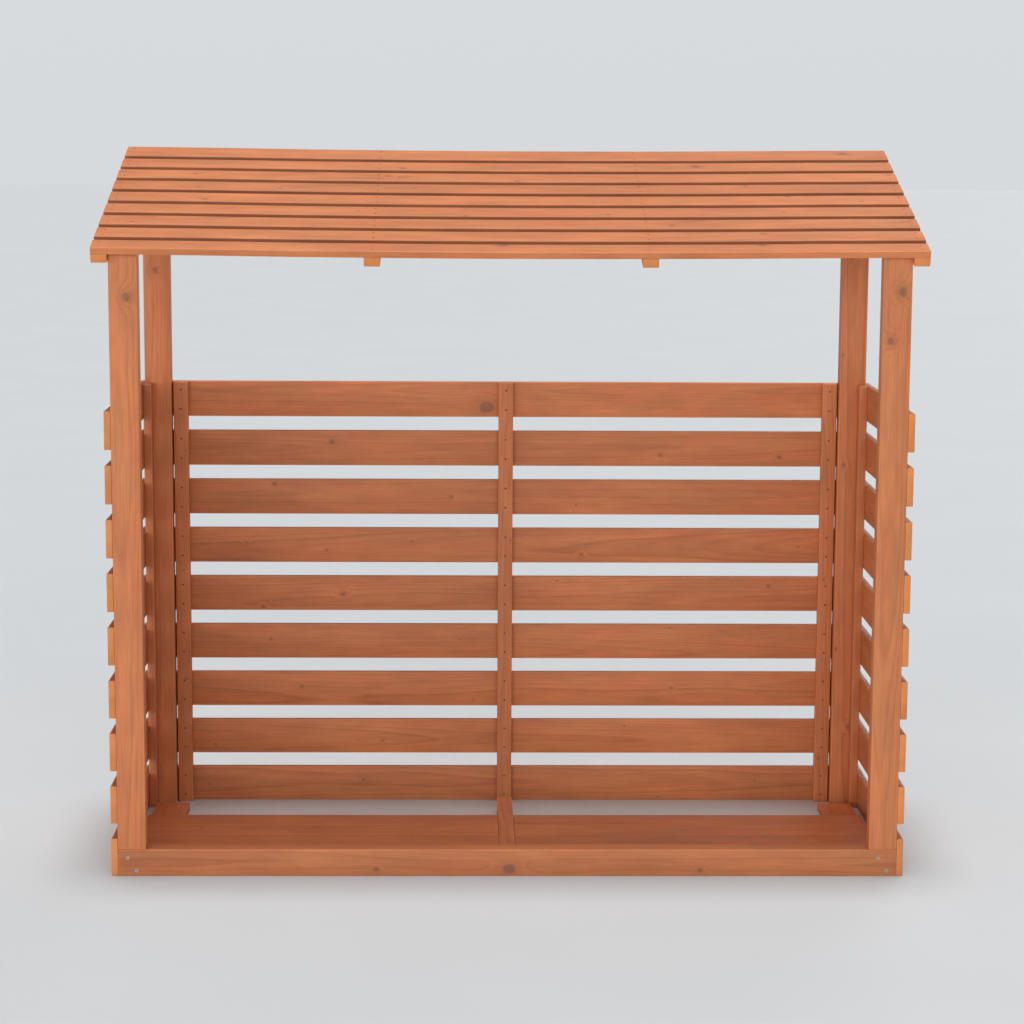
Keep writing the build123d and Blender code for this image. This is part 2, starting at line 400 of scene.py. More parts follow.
KNOT_RADII = (1.3, 1.6, 2.0, 2.5, 3.0, 4.5)  # mm
FIRST_KNOT = (0.05, 0.4)  # metres from the board's end
KNOT_SPACING = (0.16, 0.55)  # metres
CLEAR_END = 0.05  # metres at the far end with no knot's middle in it
KNOT_SIDE = 0.42  # of the board's width, to each side of its middle
KNOT_REACH = 75 * MM  # how far along the board a knot turns the grain
FAR = 10.0  # metres, for faces with no knot near them

STRETCHES = 8  # even cuts along a board, for the grain's lean and the roof's sag
CUT_MARGIN = 4 * MM  # no cut comes nearer to a board's end

# Where a board lay in its log: start along it in metres, then the pith's place beside and
# below the board in mm, and how far the pith leans over a metre, in mm
LOG_START = (0, 20)
PITH_BESIDE = 35
PITH_BELOW = (22, 80)
LEAN_ACROSS = 9
LEAN_THROUGH = 14
FLAT_NORMAL = 0.985  # a face whose normal is less along any axis is an eased edge
FACING = 0.7  # a face whose normal is more along an axis looks roughly that way

EASE_SEGMENTS = 3
EASE_ANGLE = 0.5  # radians
BOARD_SMOOTH = math.radians(25)
FIXING_SMOOTH = math.radians(35)


def board_knots(name, board):
    """Knots of a board as (along, across, radius) in metres from its middle."""
    if name in KNOTS:
        return [(a * MM, b * MM, r * MM) for a, b, r in KNOTS[name]]
    draw = random.Random("knots of " + name)
    size = board.high - board.low
    length, width = size[board.along], size[board.across]
    found, place = [], -length / 2 + draw.uniform(*FIRST_KNOT)
    while place < length / 2 - CLEAR_END:
        radius = draw.choice(KNOT_RADII) * MM
        found.append((place, draw.uniform(-KNOT_SIDE, KNOT_SIDE) * width, radius))
        place += draw.uniform(*KNOT_SPACING)
    return found


def shape_cuts(piece, name, board):
    """Cut the board across evenly, and beside each knot so that it has its own faces."""
    take(piece)
    bpy.ops.object.mode_set(mode="EDIT")
    length = (board.high - board.low)[board.along]
    places = [length * (i / STRETCHES - 0.5) for i in range(1, STRETCHES)]
    for along, _, _ in board_knots(name, board):
        places += [along - KNOT_REACH, along + KNOT_REACH]
    axis = Vector([float(i == board.along) for i in range(3)])
    middle = board.middle[board.along]
    for place in places:
        if abs(place) < length / 2 - CUT_MARGIN:
            cut(board.turn @ (axis * (middle + place)), board.turn @ axis)
    bpy.ops.object.mode_set(mode="OBJECT")


def write_grain(piece, name, board):
    """Give each face corner its place in the log, its nearest knot and its kind of face."""
    draw = random.Random("log of " + name)
    start = draw.uniform(*LOG_START)
    beside = draw.uniform(-PITH_BESIDE, PITH_BESIDE) * MM
    below = draw.choice((-1, 1)) * draw.uniform(*PITH_BELOW) * MM
    lean_across = draw.uniform(-LEAN_ACROSS, LEAN_ACROSS) * MM
    lean_through = draw.uniform(-LEAN_THROUGH, LEAN_THROUGH) * MM
    tone = TONES.get(name, draw.uniform(-TONE_SPREAD, TONE_SPREAD))
    knots = board_knots(name, board)
    mesh = piece.data
    log = mesh.attributes.new("log_place", "FLOAT_VECTOR", "CORNER")
    knot = mesh.attributes.new("knot_place", "FLOAT_VECTOR", "CORNER")
    kind = mesh.attributes.new("face_kind", "FLOAT_VECTOR", "FACE")
    back = board.turn.to_3x3().inverted()
    for face in mesh.polygons:
        middle = board.local(face.center)
        near = min(
            (k for k in knots if abs(middle.x - k[0]) < KNOT_REACH),
            key=lambda k: abs(middle.x - k[0]),
            default=(FAR, FAR, 1 * MM),
        )
        normal = back @ face.normal
        eased = max(abs(c) for c in normal) < FLAT_NORMAL
        end = abs(normal[board.along]) > FACING
        # Roof slats' front faces: painted shade in the gaps, and a painted highlight on the
        # eave's front face
        front = PAINTED_FRONT_FACE_SHADE_AND_HIGHLIGHT.get(name, 0) if normal[board.across] < -FACING else 0
        kind.data[face.index].vector = (float(eased), float(end), tone + front)
        for corner in face.loop_indices:
            place = board.local(mesh.vertices[mesh.loops[corner].vertex_index].co)
            log.data[corner].vector = (
                start + place.x,
                place.y + beside + lean_across * place.x,
                place.z + below + lean_through * place.x,
            )
            knot.data[corner].vector = (place.x - near[0], place.y - near[1], near[2])


def cutters(board):
    """Cones that cut the seats of the nails and screws whose heads lie in a board."""
    fixings = bpy.context.scene.log_rack_fixings
    made = []
    for node, radius, depth, bottom in FIXING_SEATS:
        mouth = radius + fixings.seat
        for head, out in SPOTS[node]:
            place = board.turn.inverted() @ head
            inside = (
                low - NEAR <= c <= high + NEAR
                for low, c, high in zip(board.low, place, board.high)
            )
            if not all(inside):
                continue
            deselect()
            bpy.ops.mesh.primitive_cone_add(
                vertices=fixings.sides,
                radius1=bottom,
                radius2=2 * mouth - bottom,
                depth=2 * depth,
                location=head,
                rotation=out.to_track_quat("Z", "Y").to_euler(),
            )
            made.append(bpy.context.object)
    return made


def finish_board(piece, name, board, slot, replaced=None, ease=None):
    """Ease a board's edges, cut its seats, write its grain and hand it to the frame."""
    timber = bpy.context.scene.log_rack_timber
    apply(
        piece,
        "BEVEL",
        width=ease or timber.edge_radius,
        segments=EASE_SEGMENTS,
        limit_method="ANGLE",
        angle_limit=EASE_ANGLE,
    )
    seats = cutters(board)
    if seats:
        cutter = joined(seats, "cutter")
        apply(piece, "BOOLEAN", operation="DIFFERENCE", object=cutter, solver="EXACT")
        bpy.data.objects.remove(cutter)
    shape_cuts(piece, name, board)
    write_grain(piece, name, board)
    take(piece)
    bpy.ops.object.shade_smooth_by_angle(angle=BOARD_SMOOTH)
    piece.name = "timber_" + name
    piece.data.name = piece.name
    piece.data.materials.clear()
    piece.data.materials.append(timber_material(slot))
    if replaced is not None:
        hand_over(piece, replaced)
    return piece


def hand_over(piece, node):
    """Tie a finished piece to the frame."""
    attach(piece, BODY)
    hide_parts(node)


def plain_board(name, slot, turn=LEVEL, grain="x", face="z"):
    """A board that is a straight length of planed timber."""
    board = Board(corners(name), turn, grain, face)
    piece = block(board.low, board.high)
    bpy.ops.object.mode_set(mode="OBJECT")
    piece.matrix_world = turn
    bpy.ops.object.transform_apply()
    return finish_board(piece, name, board, slot, name)


# --- Materials -----------------------------------------------------------------------


# The timber's noises: the sizes of their cells along, across and through the log in mm,
# with the fibre's own size where None stands, then their detail and their roughness. The
# hair is drawn coarser than real fibre, which is too fine to show.
GRAIN_NOISES = {
    "wander": ((900, 120, 120), 2.0, 0.5),
    "ragged": ((14, 9, 9), 2.0, 0.5),
    "streak": ((110, None, None), 3.0, 0.6),
    "hair": ((30, 0.9, 0.9), 2.0, 0.5),
    "blotch": ((260, 60, 60), 3.0, 0.5),
    "mottle": ((75, 24, 24), 2.0, 0.5),
    "warmth": ((180, 40, 40), 2.0, 0.5),
}
# Darkness across one growth ring: early wood darkens slowly, then turns back at once
RING_DARKNESS = (
    (0.0, 0.10),
    (0.45, 0.22),
    (0.72, 0.62),
    (0.86, 1.0),
    (0.95, 0.55),
    (1.0, 0.12),
)
TRUNK_WANDER = 22 * MM  # how far the pith strays from a straight line
KNOT_LENGTHENING = 0.78  # knots are this much shorter in the pattern than on the board
KNOT_SWELL = 9 * MM  # how far a knot pushes the growth rings aside
BUMP_HEIGHT = 0.5 * MM


def timber_material(slot):
    """Planed fir under an orange-brown stain, brushed on thin and left satin.

    The stain shows the grain as soft bands, darkens knots, lies thinner on the eased edges
    and soaks deeper and more orange into sawn ends.
    """
    name = "stained_fir_" + slot
    if name in bpy.data.materials:
        return bpy.data.materials[name]
    timber = bpy.context.scene.log_rack_timber
    material = bpy.data.materials.new(name)
    material.use_nodes = True
    tree = material.node_tree
    tree.nodes.clear()
    math_node, vector_node = "ShaderNodeMath", "ShaderNodeVectorMath"

    log, kind, knot = (
        add_node(tree, "ShaderNodeAttribute", attribute_name=attribute).outputs["Vector"]
        for attribute in ("log_place", "face_kind", "knot_place")
    )
    eased, end, tone = add_node(tree, "ShaderNodeSeparateXYZ", {0: kind}).outputs

    noises = {}
    for purpose, (cells, detail, rough) in GRAIN_NOISES.items():
        scale = [1 / (size * MM if size else timber.fibre) for size in cells]
        stretched = add_node(tree, vector_node, {0: log, 1: scale}, operation="MULTIPLY")
        noises[purpose] = add_node(
            tree,
            "ShaderNodeTexNoise",
            {"Vector": stretched, "Scale": 1.0, "Detail": detail, "Roughness": rough},
        )

    # Distance from the pith, with the slow wander of a real trunk
    wandered = add_node(
        tree,
        vector_node,
        {0: noises["wander"].outputs["Color"], 1: [TRUNK_WANDER] * 3, 2: log},
        operation="MULTIPLY_ADD",
    )
    flat = add_node(tree, vector_node, {0: wandered, 1: (0, 1, 1)}, operation="MULTIPLY")
    radius = add_node(tree, vector_node, {0: flat}, operation="LENGTH").outputs["Value"]

    # Distance from the knot in knot radii. The grain closes round it.
    places = add_node(tree, "ShaderNodeSeparateXYZ", {0: knot}).outputs
    longways = add_node(
        tree, math_node, {0: places[0], 1: KNOT_LENGTHENING}, operation="MULTIPLY"
    )
    plane = add_node(tree, "ShaderNodeCombineXYZ", {0: longways, 1: places[1]})
    away = add_node(tree, vector_node, {0: plane}, operation="LENGTH").outputs["Value"]
    ragged = add_node(
        tree, math_node, {0: noises["ragged"], 1: 0.5, 2: -0.25}, operation="MULTIPLY_ADD"
    )
    radii = add_node(tree, math_node, {0: away, 1: places[2]}, operation="DIVIDE")
    knots = add_node(tree, math_node, {0: radii, 1: ragged}, operation="ADD")
    square = add_node(tree, math_node, {0: knots, 1: knots}, operation="MULTIPLY")
    fade = add_node(tree, math_node, {0: square, 1: -0.16}, operation="MULTIPLY")
    pull = add_node(tree, math_node, {0: fade}, operation="EXPONENT")
    swelled = add_node(
        tree, math_node, {0: pull, 1: KNOT_SWELL, 2: radius}, operation="MULTIPLY_ADD"
    )

    # Growth rings, some years stronger than others
    turns = add_node(tree, math_node, {0: swelled, 1: timber.ring}, operation="DIVIDE")
    phase = add_node(tree, math_node, {0: turns}, operation="FRACT")
    ring = add_node(tree, "ShaderNodeValToRGB", {0: phase})
    ramp = ring.color_ramp
    for place, _ in RING_DARKNESS[1:-1]:
        ramp.elements.new(place)
    for element, (place, value) in zip(ramp.elements, RING_DARKNESS):
        element.position, element.color = place, (value, value, value, 1)
    year = add_node(tree, math_node, {0: turns}, operation="FLOOR")
    strength = add_node(
        tree,
        "ShaderNodeTexNoise",
        {"W": year, "Scale": 1.37, "Detail": 0.0},
        noise_dimensions="1D",
    )
    strength = add_node(
        tree, math_node, {0: strength, 1: 1.3, 2: 0.05}, operation="MULTIPLY_ADD"
    )
    band = add_node(tree, math_node, {0: ring, 1: strength}, operation="MULTIPLY")

    # Rings and streaks of fibre together say how dark the wood is under the stain
    streaks = add_node(
        tree, math_node, {0: noises["streak"], 1: 1.1, 2: -0.4}, operation="MULTIPLY_ADD"
    )
    grain = add_node(
        tree, math_node, {0: band, 1: 0.55, 2: streaks}, operation="MULTIPLY_ADD"
    )
    body = add_node(
        tree,
        "ShaderNodeMix",
        {0: grain, 6: (*timber.early, 1), 7: (*timber.late, 1)},
        data_type="RGBA",
    ).outputs[2]

    # The stain dries redder in some places and yellower in others
    redder = add_node(
        tree, "ShaderNodeMapRange", {0: noises["warmth"], 1: 0.35, 2: 0.65, 3: 0.0, 4: 0.75}
    )
    # Knots have a dark heart with fine rings of its own, and a reddish halo
    halo = add_node(
        tree, "ShaderNodeMapRange", {0: knots, 1: 2.6, 2: 1.0, 3: 0.0, 4: 0.35}
    )
    heart = add_node(
        tree, "ShaderNodeMapRange", {0: knots, 1: 1.05, 2: 0.8, 3: 0.0, 4: 0.75}
    )
    heart_turns = add_node(tree, math_node, {0: knots, 1: 14.0}, operation="MULTIPLY")
    heart_rings = add_node(tree, math_node, {0: heart_turns}, operation="SINE")
    heart_rings = add_node(
        tree, math_node, {0: heart_rings, 1: 0.12, 2: 0.88}, operation="MULTIPLY_ADD"
    )
    heart = add_node(tree, math_node, {0: heart, 1: heart_rings}, operation="MULTIPLY")
    sawn = add_node(tree, math_node, {0: end, 1: 0.75}, operation="MULTIPLY")
    worn = add_node(tree, math_node, {0: eased, 1: 0.22}, operation="MULTIPLY")
    for blend, amount, tint in (
        ("MULTIPLY", redder, (1.03, 0.90, 0.92)),
        ("MIX", halo, [c * 0.8 for c in timber.late]),
        ("MIX", heart, timber.knot),
        ("MIX", sawn, timber.end_grain),
        ("MIX", worn, [min(1, c * 1.5) for c in timber.early]),
    ):
        body = add_node(
            tree,
            "ShaderNodeMix",
            {0: amount, 6: body, 7: (*tint, 1)},
            data_type="RGBA",
            blend_type=blend,
        ).outputs[2]

    # Board-to-board tone with the painted shade and highlight on the roof slats' front faces,
    # blotches and hair-fine fibre as brightness
    shade = add_node(tree, math_node, {0: tone, 1: 1.0}, operation="ADD")
    for purpose, swing in (("blotch", 0.5), ("mottle", 0.3), ("hair", 0.16)):
        factor = add_node(
            tree,
            math_node,
            {0: noises[purpose], 1: swing, 2: 1 - swing / 2},
            operation="MULTIPLY_ADD",
        )
        shade = add_node(tree, math_node, {0: shade, 1: factor}, operation="MULTIPLY")
    body = add_node(tree, vector_node, {0: body, "Scale": shade}, operation="SCALE")

    # Late wood and fibre stand up a little, and the satin varies with the fibre
    relief = add_node(tree, math_node, {0: noises["streak"], 1: 0.9}, operation="MULTIPLY")
    for source, height in ((band, 0.35), (noises["hair"], 0.35)):
        relief = add_node(
            tree, math_node, {0: source, 1: height, 2: relief}, operation="MULTIPLY_ADD"
        )
    bump = add_node(
        tree,
        "ShaderNodeBump",
        {"Strength": 0.35, "Distance": BUMP_HEIGHT, "Height": relief},
    )
    rough = add_node(
        tree, math_node, {0: noises["streak"], 1: 0.2, 2: 0.46}, operation="MULTIPLY_ADD"
    )
    shader = add_node(
        tree,
        "ShaderNodeBsdfPrincipled",
        {"Base Color": body, "Roughness": rough, "IOR": 1.5, "Normal": bump},
    )
    add_node(tree, "ShaderNodeOutputMaterial", {0: shader})
    return material


def metal_material(name, colour, dirt, roughness, metallic=1.0):
    """Steel that is plated, or under stain, dulled in patches by handling and weather."""
    material = bpy.data.materials.new(name)
    material.use_nodes = True
    tree = material.node_tree
    tree.nodes.clear()
    place = add_node(tree, "ShaderNodeTexCoord").outputs["Object"]
    patches = add_node(
        tree, "ShaderNodeTexNoise", {"Vector": place, "Scale": 1 / (3 * MM), "Detail": 3.0}
    )
    mixed = add_node(
        tree,
        "ShaderNodeMix",
        {0: patches, 6: (*hex_colour(colour), 1), 7: (*hex_colour(dirt), 1)},
        data_type="RGBA",
    ).outputs[2]
    dull = add_node(
        tree,
        "ShaderNodeMath",
        {0: patches, 1: 0.25, 2: roughness - 0.12},
        operation="MULTIPLY_ADD",
    )
    shader = add_node(
        tree,
        "ShaderNodeBsdfPrincipled",
        {"Base Color": mixed, "Metallic": metallic, "Roughness": dull},
    )
    add_node(tree, "ShaderNodeOutputMaterial", {0: shader})
    return material


# --- Fixings -------------------------------------------------------------------------


NAIL_HEAD = 2.2 * MM  # radius, as of all heads and shanks here
NAIL_SHANK = 1.0 * MM
NAIL_LENGTH = 30 * MM
NAIL_POINT = 3 * MM
HEAD_EDGE = 0.7 * MM  # thickness of a nail's head under its dome
HEAD_MIDDLE = -0.65 * MM  # height of its middle, with the dome's top near 0
# How far in and up each ring of the dome is from the one outside it
DOME_RINGS = ((0.8 * MM, 0.25 * MM), (0.6 * MM, 0.04 * MM))
SHORT_SCREW = {"radius": 2.0 * MM, "head": 4.0 * MM, "length": 35 * MM}
LONG_SCREW = {"radius": 2.5 * MM, "head": 5.0 * MM, "length": 70 * MM}
SCREW_POINT = 5.5 * MM
SCREW_END = 0.5 * MM  # how much shorter a screw is than its nominal length
POINT_SIZE = 0.1  # of the shank's width
# Length, width and twice the depth of the recess's arms, as parts of the head's radius
RECESS = (1.25, 0.28, 0.9)
# Node, head radius, and the seat's depth and radius at its bottom
FIXING_SEATS = [
    ("panel_nails", NAIL_HEAD, 1.0 * MM, NAIL_HEAD),
    ("roof_nails", NAIL_HEAD, 1.0 * MM, NAIL_HEAD),
    ("short_screws", SHORT_SCREW["head"], 2.0 * MM, 2.4 * MM),
    ("long_screws", LONG_SCREW["head"], 2.5 * MM, 2.9 * MM),
]


def draw_out(length, size=1.0):
    """Extrude the picked end downwards, and make its new end narrower."""
    bpy.ops.mesh.extrude_region_move(TRANSFORM_OT_translate={"value": (0, 0, -length)})
    if size != 1.0:
        bpy.ops.transform.resize(value=(size, size, size))


def nail_shape():
    """Wire nail, pointing down from the middle of its head, which is slightly domed."""
    sides = bpy.context.scene.log_rack_fixings.sides
    deselect()
    bpy.ops.mesh.primitive_cylinder_add(
        vertices=sides, radius=NAIL_HEAD, depth=HEAD_EDGE, location=(0, 0, HEAD_MIDDLE)
    )
    nail = bpy.context.object
    bpy.ops.object.transform_apply()
    bpy.ops.object.mode_set(mode="EDIT")
    pick_faces(nail, lambda place, normal: normal.z > SQUARE_ON)
    for inward, up in DOME_RINGS:
        bpy.ops.mesh.inset(thickness=inward, depth=up)
    pick_faces(nail, lambda place, normal: normal.z < -SQUARE_ON)
    bpy.ops.mesh.inset(thickness=NAIL_HEAD - NAIL_SHANK)
    draw_out(NAIL_LENGTH - NAIL_POINT + HEAD_MIDDLE - HEAD_EDGE / 2)
    draw_out(NAIL_POINT, POINT_SIZE)
    bpy.ops.object.mode_set(mode="OBJECT")
    return nail


def screw_shape(radius, head, length):
    """Countersunk screw, pointing down from the middle of its head, with a cross recess."""
    sides = bpy.context.scene.log_rack_fixings.sides
    deselect()
    bpy.ops.mesh.primitive_cone_add(
        vertices=sides,
        radius1=radius,
        radius2=head,
        depth=head - radius,
        location=(0, 0, -(head - radius) / 2),
    )
    screw = bpy.context.object
    bpy.ops.object.transform_apply()
    bpy.ops.object.mode_set(mode="EDIT")
    pick_faces(screw, lambda place, normal: normal.z < -SQUARE_ON)
    draw_out(length - SCREW_END - SCREW_POINT - (head - radius))
    draw_out(SCREW_POINT, POINT_SIZE)
    bpy.ops.object.mode_set(mode="OBJECT")
    long, wide, deep = RECESS
    for scale in ((long, wide, deep), (wide, long, deep)):
        deselect()
        bpy.ops.mesh.primitive_cube_add(size=head, scale=scale, location=(0, 0, 0))
        arm = bpy.context.object
        apply(screw, "BOOLEAN", operation="DIFFERENCE", object=arm, solver="EXACT")
        bpy.data.objects.remove(arm)
    return screw


def place_fixings(pattern, node, material):
    """Copy a nail or screw to every spot of a CAD node, each turned at random."""
    sunk = bpy.context.scene.log_rack_fixings.sunk
    draw = random.Random("turns of " + node)
    copies = []
    for head, out in SPOTS[node]:
        made = copy_of(pattern)
        spin = Matrix.Rotation(draw.uniform(0, math.tau), 4, "Z")
        turn = out.to_track_quat("Z", "Y").to_matrix().to_4x4() @ spin
        made.data.transform(Matrix.Translation(head - out * sunk) @ turn)
        copies.append(made)
    group = joined(copies, node + "_made")
    take(group)
    bpy.ops.object.shade_smooth_by_angle(angle=FIXING_SMOOTH)
    group.data.materials.clear()
    group.data.materials.append(material)
    hand_over(group, node)
    return group


# --- Operators -----------------------------------------------------------------------


class LOGRACK_OT_frame(bpy.types.Operator):
    """Model the front rail and the four posts"""

    bl_idname = "lograck.frame"
    bl_label = "Rail and posts"

    def execute(self, context):
        slot = "frame_timber"
        rail = Board(corners("front_rail"), face="y")
        lap = rail_notch()
        piece = block(rail.low, Vector((rail.high.x, lap.y, rail.high.z)))
        for side in SIDES.values():
            cut((side * lap.x, 0, 0), (1, 0, 0))
        pick_faces(piece, lambda place, normal: normal.y > SQUARE_ON and abs(place.x) < lap.x)
        bpy.ops.mesh.extrude_region_move(
            TRANSFORM_OT_translate={"value": (0, rail.high.y - lap.y, 0)}
        )
        bpy.ops.object.mode_set(mode="OBJECT")
        finish_board(piece, "front_rail", rail, slot, "front_rail")

        for row in ("front", "back"):
            for end in SIDES:
                name = f"{row}_{end}_post"
                post = Board(corners(name), grain="z", face="y")
                foot = post.low.copy()
                if row == "front":
                    foot.z = rail.high.z
                    foot.y = rail.low.y
                piece = block(foot, post.high)
                front = [p for p in corners(name) if p.y < post.low.y + NEAR]
                eave = max(front, key=lambda p: p.z)
                up = (ROOF_TURN @ Vector((0, 0, 1))).normalized()
                cut(eave, up, clear=True)
                if row == "front":
                    cut((0, lap.y, 0), (0, 1, 0))
                    pick_faces(
                        piece, lambda place, normal: normal.z < -SQUARE_ON and place.y > lap.y
                    )
                    bpy.ops.mesh.extrude_region_move(
                        TRANSFORM_OT_translate={"value": (0, 0, post.low.z - foot.z)}
                    )
                bpy.ops.object.mode_set(mode="OBJECT")
                finish_board(piece, name, post, slot, name)
        return {"FINISHED"}


def rail_notch():
    """Inner corner of the rail's right-hand notch: its x, and the y of the cheek's back."""
    points = [p for p in corners("front_rail") if p.x > 0 and p.z < NEAR]
    back = max(p.y for p in points)
    x = max(p.x for p in points if p.y > back - NEAR)
    y = max(p.y for p in points if p.x > x + NEAR)
    return Vector((x, y, 0))


class LOGRACK_OT_walls(bpy.types.Operator):
    """Model the slats and battens of the back panel and of both side panels"""

    bl_idname = "lograck.walls"
    bl_label = "Slatted panels"

    def execute(self, context):
        slot = "wall_timber"
        names = [name for name in sorted(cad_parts) if not name.startswith("roof")]
        for name in names:
            if "_slat_" in name and name.startswith("back"):
                plain_board(name, slot, grain="x", face="y")
            elif "_slat_" in name:
                plain_board(name, slot, grain="y", face="x")
        for name in names:
            if name.endswith("_batten"):
                face = "y" if name.startswith("back") else "x"
                plain_board(name, slot, grain="z", face=face)
        return {"FINISHED"}


class LOGRACK_OT_roof(bpy.types.Operator):
    """Model the rafters and the roof slats"""

    bl_idname = "lograck.roof"
    bl_label = "Roof"

    def execute(self, context):
        slot = "roof_timber"
        hanging = []
        for name in sorted(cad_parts):
            if name.startswith("roof_slat_"):
                hanging.append(plain_board(name, slot, ROOF_TURN, grain="x", face="z"))
            elif name.endswith("_rafter"):
                rafter = plain_board(name, slot, ROOF_TURN, grain="y", face="z")
                if name.startswith("middle"):
                    hanging.append(rafter)
        let_sag(hanging)
        return {"FINISHED"}


SAG_POINTS = 13  # lattice points along the roof


def let_sag(pieces):
    """Let the roof hang a little between the posts, as long thin slats do."""
    sag = bpy.context.scene.log_rack_roof.sag
    low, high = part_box("roof_slat_1")[0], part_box("roof_slat_9")[1]
    reach = min(p.x for p in corners("front_right_post"))
    size = high - low
    deselect()
    bpy.ops.object.add(type="LATTICE", location=(low + high) / 2)
    cage = bpy.context.object
    cage.scale = size
    cage.data.points_u, cage.data.points_v, cage.data.points_w = SAG_POINTS, 2, 2
    for kind in ("u", "v", "w"):
        setattr(cage.data, "interpolation_type_" + kind, "KEY_LINEAR")
    for point in cage.data.points:
        off = point.co.x * size.x / reach
        point.co_deform.z -= max(0.0, 1 - off * off) * sag / size.z
    bpy.context.view_layer.update()
    for piece in pieces:
        apply(piece, "LATTICE", object=cage)
    bpy.data.objects.remove(cage)


class LOGRACK_OT_floor(bpy.types.Operator):
    """Model the floor panel: two bearers, the rebated runner and the boards"""

    bl_idname = "lograck.floor"
    bl_label = "Floor panel"

    def execute(self, context):
        slot = "floor_timber"
        timber = context.scene.log_rack_timber
        for end in SIDES:
            plain_board(f"floor_{end}_bearer", slot, grain="y", face="z")

        name = "floor_runner"
        runner = Board(corners(name), grain="y", face="z")
        strip = max(p.x for p in corners(name) if p.z > runner.high.z - NEAR)
        outer = [p for p in corners(name) if p.x > runner.high.x - NEAR]
        ledge_top, ledge_back = max(p.z for p in outer), max(p.y for p in outer)
        piece = block(runner.low, Vector((runner.high.x, ledge_back, ledge_top)))
        for side in SIDES.values():
            cut((side * strip, 0, 0), (1, 0, 0))
        pick_faces(piece, lambda place, normal: normal.z > SQUARE_ON and abs(place.x) < strip)
        bpy.ops.mesh.extrude_region_move(
            TRANSFORM_OT_translate={"value": (0, 0, runner.high.z - ledge_top)}
        )
        pick_faces(piece, lambda place, normal: normal.y > SQUARE_ON and abs(place.x) < strip)
        bpy.ops.mesh.extrude_region_move(
            TRANSFORM_OT_translate={"value": (0, runner.high.y - ledge_back, 0)}
        )
        bpy.ops.object.mode_set(mode="OBJECT")
        finish_board(piece, name, runner, slot, name)

        boards, ease = [], timber.floor_edge_radius
        for number, points in enumerate(islands("floor_boards")):
            board = Board(points, grain="x", face="z")
            piece = block(board.low, board.high)
            bpy.ops.object.mode_set(mode="OBJECT")
            name = f"floor_board_{number}"
            boards.append(finish_board(piece, name, board, slot, ease=ease))
        hand_over(joined(boards, "timber_floor_boards"), "floor_boards")
        return {"FINISHED"}


class LOGRACK_OT_fixings(bpy.types.Operator):
    """Model the nails and screws"""

    bl_idname = "lograck.fixings"
    bl_label = "Nails and screws"

    def execute(self, context):
        # Wire nails stained over with the wood: dull brown heads with no bare steel
        dark = metal_material("stained_wire_nail", "6E4630", "472C1E", 0.6, metallic=0.0)
        # Zinc-plated screws: pale grey and fairly bright, dulled in patches
        zinc = metal_material("zinc_plated_screw", "D2D5D6", "949A9E", 0.42)
        # On the roof the stain went on after the nails and hides most of each head
        brown = metal_material(
            "roof_nail_under_stain", "A0603C", "6E3F28", 0.62, metallic=0.0
        )
        nail = nail_shape()
        place_fixings(nail, "panel_nails", dark)
        let_sag([place_fixings(nail, "roof_nails", brown)])
        bpy.data.objects.remove(nail)
        for node, sizes in (("short_screws", SHORT_SCREW), ("long_screws", LONG_SCREW)):
            screw = screw_shape(**sizes)
            place_fixings(screw, node, zinc)
            bpy.data.objects.remove(screw)
        return {"FINISHED"}


FLOOR_RADIUS = 60  # metres
FLOOR_SIDES = 96
LIGHT_HEIGHT = 6  # metres, only where the far lights' handles stand
SENSOR_WIDTH = 36  # mm


class LOGRACK_OT_stage(bpy.types.Operator):
    """Lay the floor, hang the lights and set up the camera"""

    bl_idname = "lograck.stage"
    bl_label = "Studio"

    def execute(self, context):
        studio = context.scene.log_rack_studio
        deselect()
        bpy.ops.mesh.primitive_circle_add(
            vertices=FLOOR_SIDES, radius=FLOOR_RADIUS, fill_type="NGON", location=(0, 0, 0)
        )
        floor = context.object
        floor.name = "studio_floor"
        floor.data.materials.append(floor_material())

        # Far lights: strength, how wide each looks, and its bearing and height in degrees,
        # with bearings counted from straight in front, to the right
        lights = (
            ("key_light", studio.key, 30, -16, 8),
            ("side_light", studio.side, 8, -54, 5),
            ("front_light", studio.front, 24, 17, 20),
            ("high_light", studio.high, 40, -5, 56),
            ("top_light", studio.top, 14, 0, 91),
            ("back_light", studio.back, 30, 158, 14),
        )
        for name, strength, width, bearing, height in lights:
            bpy.ops.object.light_add(type="SUN", location=(0, 0, LIGHT_HEIGHT))
            light = context.object
            light.name = name
            light.data.energy = strength
            light.data.angle = math.radians(width)
            light.rotation_euler = (math.radians(90 - height), 0, math.radians(bearing))

        context.scene.world = studio_room(studio.sky)
        context.scene.view_settings.view_transform = "Standard"

        tilt, roll, turn = studio.aim
        aim = Matrix.Rotation(turn, 4, "Z") @ Matrix.Rotation(tilt, 4, "X")
        bpy.ops.object.camera_add(location=studio.eye)
        camera = context.object
        camera.data.lens = studio.lens
        camera.data.sensor_width = SENSOR_WIDTH
        camera.rotation_euler = (aim @ Matrix.Rotation(roll, 4, "Z")).to_euler()
        context.scene.camera = camera
        return {"FINISHED"}


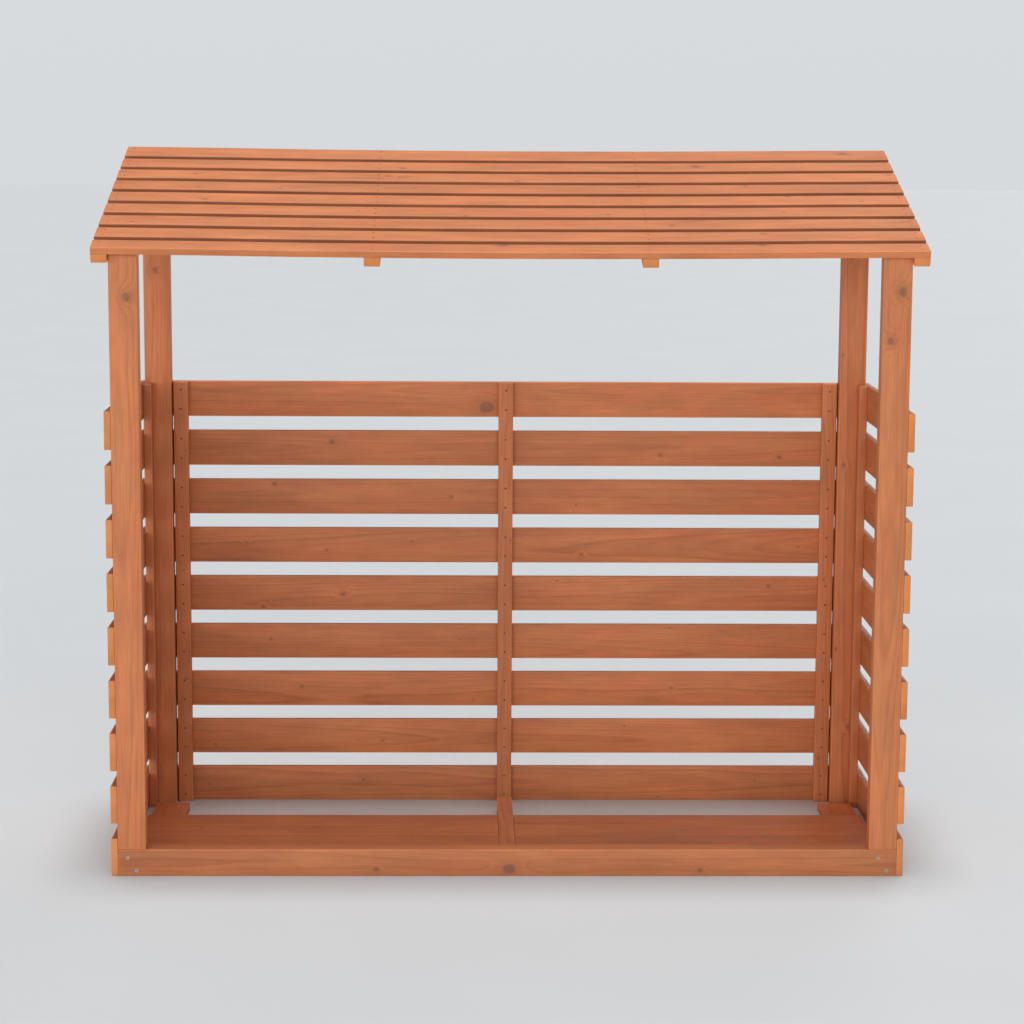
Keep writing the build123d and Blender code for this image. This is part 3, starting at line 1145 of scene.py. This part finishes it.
def studio_room(strength):
    """Even light from all round, and a backdrop that meets the floor without a line."""
    world = bpy.data.worlds.new("studio_room")
    world.use_nodes = True
    tree = world.node_tree
    tree.nodes.clear()
    way = add_node(tree, "ShaderNodeTexCoord").outputs["Generated"]
    height = add_node(tree, "ShaderNodeSeparateXYZ", {0: way}).outputs[2]
    rise = add_node(tree, "ShaderNodeMapRange", {0: height, 1: 0.0, 2: 0.35})
    colour = add_node(
        tree,
        "ShaderNodeMix",
        {0: rise, 6: (*hex_colour("D7DADD"), 1), 7: (*hex_colour("DEE0E2"), 1)},
        data_type="RGBA",
    ).outputs[2]
    backdrop = add_node(tree, "ShaderNodeBackground", {0: colour, 1: 1.0})
    white = (*hex_colour("EEF0F2"), 1)
    light = add_node(tree, "ShaderNodeBackground", {0: white, 1: strength})
    seen = add_node(tree, "ShaderNodeLightPath").outputs["Is Camera Ray"]
    both = add_node(tree, "ShaderNodeMixShader", {0: seen, 1: light, 2: backdrop})
    add_node(tree, "ShaderNodeOutputWorld", {0: both})
    return world


def floor_material():
    """Pale matt studio vinyl with a faint cloudiness."""
    material = bpy.data.materials.new("pale_studio_floor")
    material.use_nodes = True
    tree = material.node_tree
    tree.nodes.clear()
    place = add_node(tree, "ShaderNodeTexCoord").outputs["Object"]
    cloud = add_node(tree, "ShaderNodeTexNoise", {"Vector": place, "Scale": 1.5})
    mixed = add_node(
        tree,
        "ShaderNodeMix",
        {0: cloud, 6: (*hex_colour("C2C5C7"), 1), 7: (*hex_colour("C7CACC"), 1)},
        data_type="RGBA",
    ).outputs[2]
    shader = add_node(
        tree,
        "ShaderNodeBsdfPrincipled",
        {"Base Color": mixed, "Roughness": 0.8, "Specular IOR Level": 0.15},
    )
    add_node(tree, "ShaderNodeOutputMaterial", {0: shader})
    return material


class LOGRACK_PT_panel(bpy.types.Panel):
    """The rack's pieces in the order that they are made"""

    bl_idname = "LOGRACK_PT_panel"
    bl_label = "Log rack"
    bl_space_type = "VIEW_3D"
    bl_region_type = "UI"
    bl_category = "Log rack"

    def draw(self, context):
        for operator in OPERATORS:
            self.layout.operator(operator.bl_idname)
        for group in GROUPS:
            settings = getattr(context.scene, group)
            box = self.layout.box()
            for name in settings.bl_rna.properties.keys():
                if name not in ("name", "rna_type"):
                    box.prop(settings, name)


OPERATORS = (
    LOGRACK_OT_frame,
    LOGRACK_OT_walls,
    LOGRACK_OT_roof,
    LOGRACK_OT_floor,
    LOGRACK_OT_fixings,
    LOGRACK_OT_stage,
)
GROUPS = {
    "log_rack_timber": LogRackTimber,
    "log_rack_fixings": LogRackFixings,
    "log_rack_roof": LogRackRoof,
    "log_rack_studio": LogRackStudio,
}


def register():
    for group, kind in GROUPS.items():
        bpy.utils.register_class(kind)
        setattr(bpy.types.Scene, group, PointerProperty(type=kind))
    for kind in (*OPERATORS, LOGRACK_PT_panel):
        bpy.utils.register_class(kind)


def unregister():
    for kind in (LOGRACK_PT_panel, *reversed(OPERATORS)):
        bpy.utils.unregister_class(kind)
    for group, kind in GROUPS.items():
        delattr(bpy.types.Scene, group)
        bpy.utils.unregister_class(kind)


def main():
    """Make every piece in turn."""
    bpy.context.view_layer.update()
    register()
    for operator in OPERATORS:
        area, name = operator.bl_idname.split(".")
        getattr(getattr(bpy.ops, area), name)()


if __name__ == "__main__":
    main()
